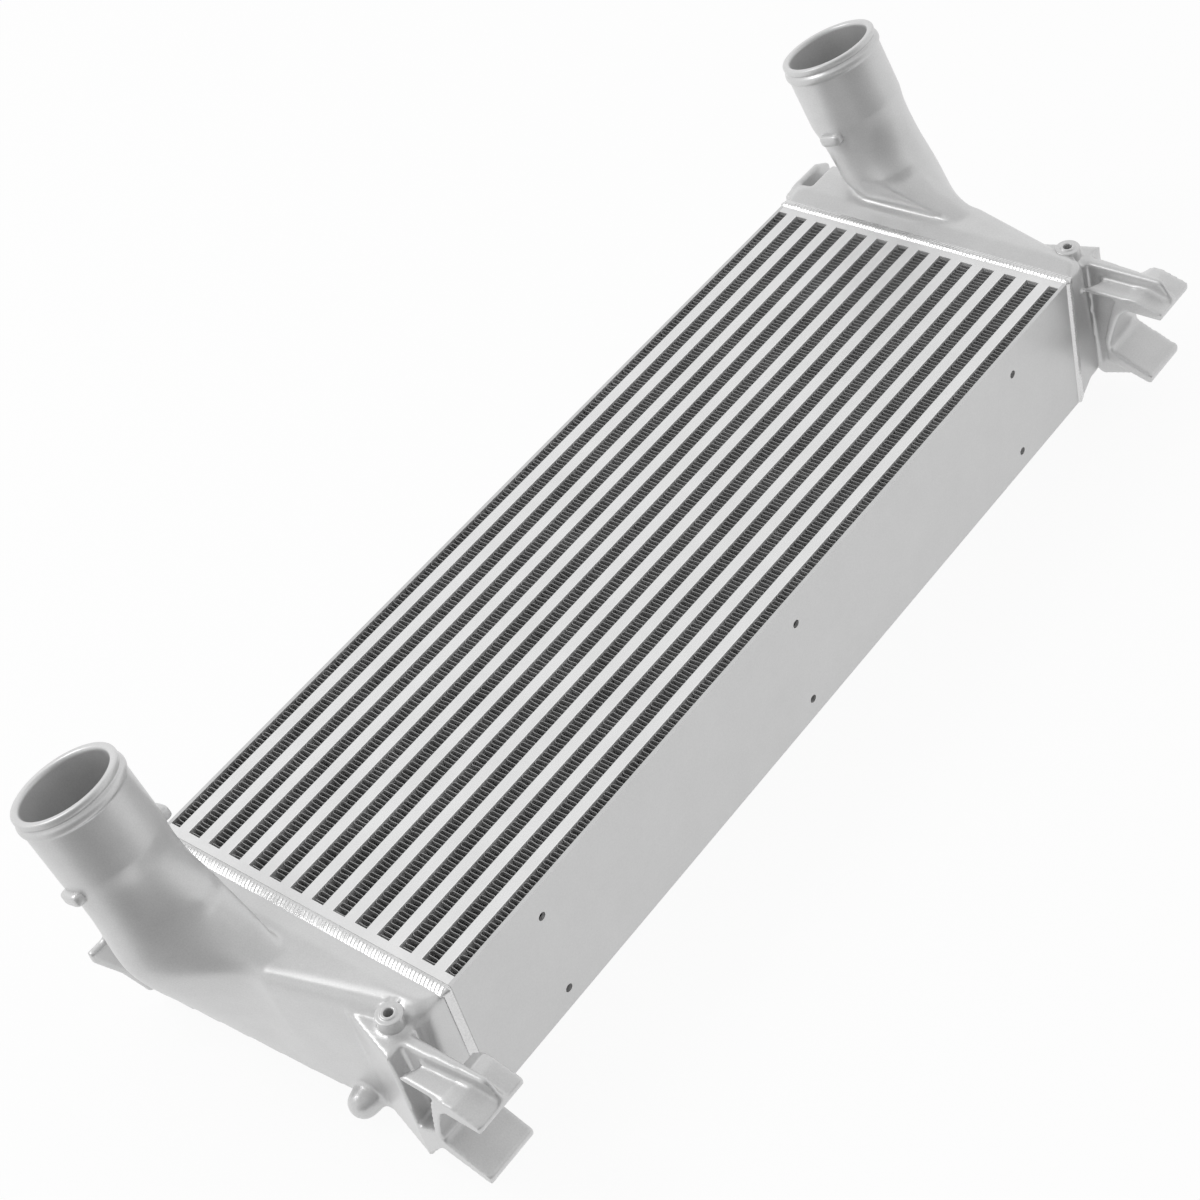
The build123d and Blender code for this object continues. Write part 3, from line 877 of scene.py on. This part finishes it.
def silver(name, dark, light, metallic, roughness, grain, relief, over=None):
    """Coated aluminium. The tint runs from dark to light with 0.55 grain + 0.45 cloud.

    grain is the size of the grain and relief its height, both in millimetres. A noise of scale
    1 / size has features of about that size. over may lay another colour over the tint.
    """
    material = bpy.data.materials.new(name)
    material.use_nodes = True
    tree = material.node_tree
    tree.nodes.clear()
    surface = add(tree, "ShaderNodeTexCoord").outputs["Object"]
    cloud = add(tree, "ShaderNodeTexNoise", Vector=surface, Scale=1 / (CLOUD_SIZE * MM),
                Detail=3.0, Roughness=0.55).outputs["Fac"]
    speck = add(tree, "ShaderNodeTexNoise", Vector=surface, Scale=1 / (grain * MM),
                Detail=3.0, Roughness=0.65).outputs["Fac"]
    part = add(tree, "ShaderNodeMath", {"operation": "MULTIPLY"}, i0=speck, i1=GRAIN_SHARE)
    mixed = add(tree, "ShaderNodeMath", {"operation": "MULTIPLY_ADD"},
                i0=cloud, i1=CLOUD_SHARE, i2=part.outputs[0])
    stops = [(TINT_RANGE[0], dark), (TINT_RANGE[1], light)]
    tint = add(tree, "ShaderNodeValToRGB", {"stops": stops}, Fac=mixed.outputs[0]).outputs["Color"]
    if over:
        tint = over(tree, tint)
    drift = add(tree, "ShaderNodeMapRange", Value=cloud,
                To_Min=roughness - GLOSSIER, To_Max=roughness + ROUGHER)
    bump = add(tree, "ShaderNodeBump", Height=speck, Distance=relief * MM, Strength=RELIEF_STRENGTH)
    shader = add(tree, "ShaderNodeBsdfPrincipled", Base_Color=tint, Metallic=metallic,
                 Roughness=drift.outputs[0], Normal=bump.outputs["Normal"])
    add(tree, "ShaderNodeOutputMaterial", Surface=shader.outputs["BSDF"])
    print(name, "has", len(tree.nodes), "nodes")
    return material


# %% The finishes by how each part was made
# Blasting pits and paint grain are about 0.2 mm, too fine to show in the render, so each grain is
# drawn as coarse as it needs to show.

# Sand cast, then blasted and coated: soft wide gleam, the strongest grain.
cast_aluminium = silver("coated_cast_aluminium", "d0d0d0", "e2e2e2", 0.55, 0.34, 0.9, 0.06)

# Extruded bar, coated: even and light, nearly without relief.
bar_aluminium = silver("coated_extruded_aluminium", "e8e8e8", "f6f6f6", 0.5, 0.42, 0.7, 0.03)

# Rolled sheet, coated: flat, the calmest surface, so the smallest relief and little colour change.
plate_aluminium = silver("coated_rolled_aluminium", "d0d0d0", "dadada", 0.6, 0.36, 1.2, 0.01)

# Weld bead: melted metal with almost no coat on its crests, so it gleams most.
weld_aluminium = silver("welded_aluminium", "d2d2d2", "eeeeee", 0.85, 0.25, 0.8, 0.02)

# Fin sheet: thin rolled foil, dulled by the brazing furnace, darker and rougher than the rest.
foil_aluminium = silver("brazed_aluminium_foil", "acacac", "d0d0d0", 0.7, 0.45, 0.6, 0.02)

# %% [markdown]
# ## Painted highlight on the parting sheets' edges
#
# A charge tube is two parting sheets with a bar between them. On the front face the sheet's cut
# edge is bare and catches the light as a thin bright line along one side of every tube. The edge is
# real, and its bright line is a painted highlight. It could be a strip of its own, but it is flush
# with the bar, so the highlight is painted as white: a mask is 1 where a point is on the front face,
# between the header bars, and in the last half millimetre of its tube.

# %% Finish of the charge tubes
EDGE_WIDTH = 0.5
FRONT = 0.5
EDGE_START = 0.5 + (TUBE_WIDTH / 2 - EDGE_WIDTH) / TUBE_PITCH


def painted_edge_highlight(tree, tint):
    """Painted highlight: white over the tint where (x / pitch + 1/2) mod 1 > edge, |y| < half length, normal
    z > 1/2.
    """
    place = add(tree, "ShaderNodeSeparateXYZ", Vector=add(tree, "ShaderNodeTexCoord").outputs["Object"])
    normal = add(tree, "ShaderNodeNewGeometry").outputs["Normal"]
    facing = add(tree, "ShaderNodeSeparateXYZ", Vector=normal).outputs["Z"]
    share = add(tree, "ShaderNodeMath", {"operation": "MULTIPLY_ADD"},
                i0=place.outputs["X"], i1=1 / (TUBE_PITCH * MM), i2=0.5).outputs[0]
    share = add(tree, "ShaderNodeMath", {"operation": "FRACT"}, i0=share).outputs[0]
    end = add(tree, "ShaderNodeMath", {"operation": "ABSOLUTE"}, i0=place.outputs["Y"]).outputs[0]
    edge = add(tree, "ShaderNodeMath", {"operation": "GREATER_THAN"}, i0=share, i1=EDGE_START)
    front = add(tree, "ShaderNodeMath", {"operation": "GREATER_THAN"}, i0=facing, i1=FRONT)
    inside = add(tree, "ShaderNodeMath", {"operation": "LESS_THAN"}, i0=end, i1=FIN_HALF * MM)
    mask = add(tree, "ShaderNodeMath", {"operation": "MULTIPLY"}, i0=edge.outputs[0], i1=front.outputs[0])
    mask = add(tree, "ShaderNodeMath", {"operation": "MULTIPLY"}, i0=mask.outputs[0], i1=inside.outputs[0])
    # White of the painted highlight, laid over the tint where the mask is 1.
    return add(tree, "ShaderNodeMix", {"data_type": "RGBA"},
               i0=mask.outputs[0], i6=tint, i7=linear("ffffff")).outputs[2]


# The tubes' finish carries the painted highlight along one edge of every tube.
tube_aluminium = silver("brazed_tube_aluminium", "e8e8e8", "f6f6f6", 0.5, 0.42, 0.7, 0.03, painted_edge_highlight)

# %% [markdown]
# ## Which piece gets which finish
#
# A new piece gets its material in its mesh. A CAD node keeps its mesh untouched and gets the
# material through its object's slots, so that the frame stays as it was packed.

# %% Paint the new pieces
def paint(obj, material):
    """Give every face of a new piece one material."""
    obj.data.materials.clear()
    obj.data.materials.append(material)
    obj.data.polygons.foreach_set("material_index", np.zeros(len(obj.data.polygons), dtype=np.int32))


for piece in list(castings.values()) + turned:
    paint(piece, cast_aluminium)
for piece in welds:
    paint(piece, weld_aluminium)
for piece in fins:
    paint(piece, foil_aluminium)
print("painted", len(castings) + len(turned) + len(welds) + len(fins), "new pieces")

# %% Paint the CAD nodes
NODE_FINISH = (
    ("turbulator", foil_aluminium),
    ("right_side_plate", plate_aluminium),
    ("left_side_plate", plate_aluminium),
    ("charge_tube", tube_aluminium),
    ("near_header_bars", bar_aluminium),
    ("far_header_bars", bar_aluminium),
)
for node_name, node in nodes.items():
    finish = next((one for start, one in NODE_FINISH if node_name.startswith(start)), cast_aluminium)
    for slot in node.material_slots:
        slot.material = finish
print("painted", len(nodes), "CAD nodes")

# %% [markdown]
# ## White studio
#
# Metal shows what stands round it, so the surroundings are half of its look. The photograph was
# taken in white: the object stands in a bright tent with one opening, and the opening gives the
# dark bands on the round spigots. Walls could be modelled, but the world can do the same with less:
# its colour depends on the direction, once towards the opening and once upwards. The camera itself
# sees plain white, told apart by Light Path.

# %% World
TENT_OPENING = (0.82, -0.55, -0.12)
TENT_STOPS = [(0.0, "ffffff"), (0.7, "f8f8f8"), (0.86, "b0b0b0"), (1.0, "808080")]
HEIGHT_STOPS = [
    (0.0, "f4f4f4"), (0.3, "ffffff"), (0.6, "f6f6f6"), (0.8, "ffffff"), (0.87, "e0e0e0"), (1.0, "d8d8d8"),
]


def studio():
    """World colour = tent(direction . opening) * sky(height), and plain white for camera rays."""
    world = bpy.data.worlds.new("studio")
    bpy.context.scene.world = world
    world.use_nodes = True
    tree = world.node_tree
    tree.nodes.clear()
    way = add(tree, "ShaderNodeTexCoord").outputs["Generated"]
    facing = add(tree, "ShaderNodeVectorMath", {"operation": "DOT_PRODUCT"}, i0=way, i1=TENT_OPENING)
    opening = add(tree, "ShaderNodeMapRange", Value=facing.outputs["Value"], From_Min=-1.0, From_Max=1.0)
    tent = add(tree, "ShaderNodeValToRGB", {"stops": TENT_STOPS}, Fac=opening.outputs[0])
    height = add(tree, "ShaderNodeSeparateXYZ", Vector=way).outputs["Z"]
    raised = add(tree, "ShaderNodeMapRange", Value=height, From_Min=-1.0, From_Max=1.0)
    sky = add(tree, "ShaderNodeValToRGB", {"stops": HEIGHT_STOPS}, Fac=raised.outputs[0])
    both = add(tree, "ShaderNodeMix", {"data_type": "RGBA", "blend_type": "MULTIPLY"},
               i0=1.0, i6=tent.outputs["Color"], i7=sky.outputs["Color"]).outputs[2]
    seen = add(tree, "ShaderNodeLightPath").outputs["Is Camera Ray"]
    lit = add(tree, "ShaderNodeBackground", Color=both, Strength=1.0)
    plain = add(tree, "ShaderNodeBackground", Color=linear("ffffff"), Strength=1.0)
    mix = add(tree, "ShaderNodeMixShader", i0=seen, i1=lit.outputs[0], i2=plain.outputs[0])
    add(tree, "ShaderNodeOutputWorld", Surface=mix.outputs[0])
    return world


world = studio()
print(world.name, "world has", len(world.node_tree.nodes), "nodes")

# %% [markdown]
# ## Floor
#
# The object lies on a sheet of white paper. Lit paper never comes out quite white, so the camera,
# and the metal that mirrors the paper, see a glow of strength 1 mixed over it, and the rest still
# takes the object's faint shadow. The sheet reaches past the picture on every side. On the camera's
# side it stops soon after, so that the spigots see past it into the tent's opening.

# %% Floor sheet
FLOOR_X = (-1.6, 0.5)
FLOOR_Y = (-0.52, 1.2)
PAPER_ROUGHNESS = 0.9
GLOW_SHARE = 0.92


def paper_material():
    """Matt paper, mixed with a white glow by 0.92 for camera, glossy and transmission rays."""
    material = bpy.data.materials.new("white_paper")
    material.use_nodes = True
    tree = material.node_tree
    tree.nodes.clear()
    paper = add(tree, "ShaderNodeBsdfPrincipled", Base_Color=linear("f8f8f8"), Roughness=PAPER_ROUGHNESS)
    glow = add(tree, "ShaderNodeEmission", Color=linear("ffffff"), Strength=1.0)
    rays = add(tree, "ShaderNodeLightPath").outputs
    seen = add(tree, "ShaderNodeMath", {"operation": "MAXIMUM"},
               i0=rays["Is Camera Ray"], i1=rays["Is Glossy Ray"])
    seen = add(tree, "ShaderNodeMath", {"operation": "MAXIMUM"},
               i0=seen.outputs[0], i1=rays["Is Transmission Ray"])
    share = add(tree, "ShaderNodeMath", {"operation": "MULTIPLY"}, i0=seen.outputs[0], i1=GLOW_SHARE)
    mix = add(tree, "ShaderNodeMixShader",
              i0=share.outputs[0], i1=paper.outputs[0], i2=glow.outputs[0])
    add(tree, "ShaderNodeOutputMaterial", Surface=mix.outputs[0])
    return material


def floor_sheet():
    """One rectangle at the height of the object's lowest point."""
    (left, right), (near, far) = FLOOR_X, FLOOR_Y
    low = cad_box[0][2]
    mesh = bpy.data.meshes.new("floor")
    mesh.from_pydata([(left, near, low), (right, near, low), (right, far, low), (left, far, low)],
                     [], [(0, 1, 2, 3)])
    floor = bpy.data.objects.new("floor", mesh)
    bpy.context.collection.objects.link(floor)
    mesh.materials.append(paper_material())
    return floor


floor = floor_sheet()
print("floor lies at z =", round(floor.data.vertices[0].co.z, 4), "m")

# %% [markdown]
# ## Key light
#
# One soft box above the tanks gives the ridge, the beads and the weld their gleam. A small lamp
# would make hard spots. A large square far away is soft, and it is weak, because the tent already
# lights everything.

# %% Soft box
KEY_AT = (-1.3, -0.72, 1.65)
KEY_AIM = (0, 0, 0.05)
KEY_SIZE = 0.75
KEY_POWER = 8


def soft_box(name, place, target, size, power):
    """Square area light at a place, aimed at a target, both in metres, with its power in watts."""
    data = bpy.data.lights.new(name, "AREA")
    data.shape = "SQUARE"
    data.size = size
    data.energy = power
    light = bpy.data.objects.new(name, data)
    light.location = place
    light.rotation_euler = (Vector(target) - Vector(place)).to_track_quat("-Z", "Y").to_euler()
    bpy.context.collection.objects.link(light)
    return light


key = soft_box("key", KEY_AT, KEY_AIM, KEY_SIZE, KEY_POWER)
bpy.context.scene.view_settings.view_transform = "Standard"
print("key light of", key.data.energy, "W,", round(key.location.length, 2), "m away")
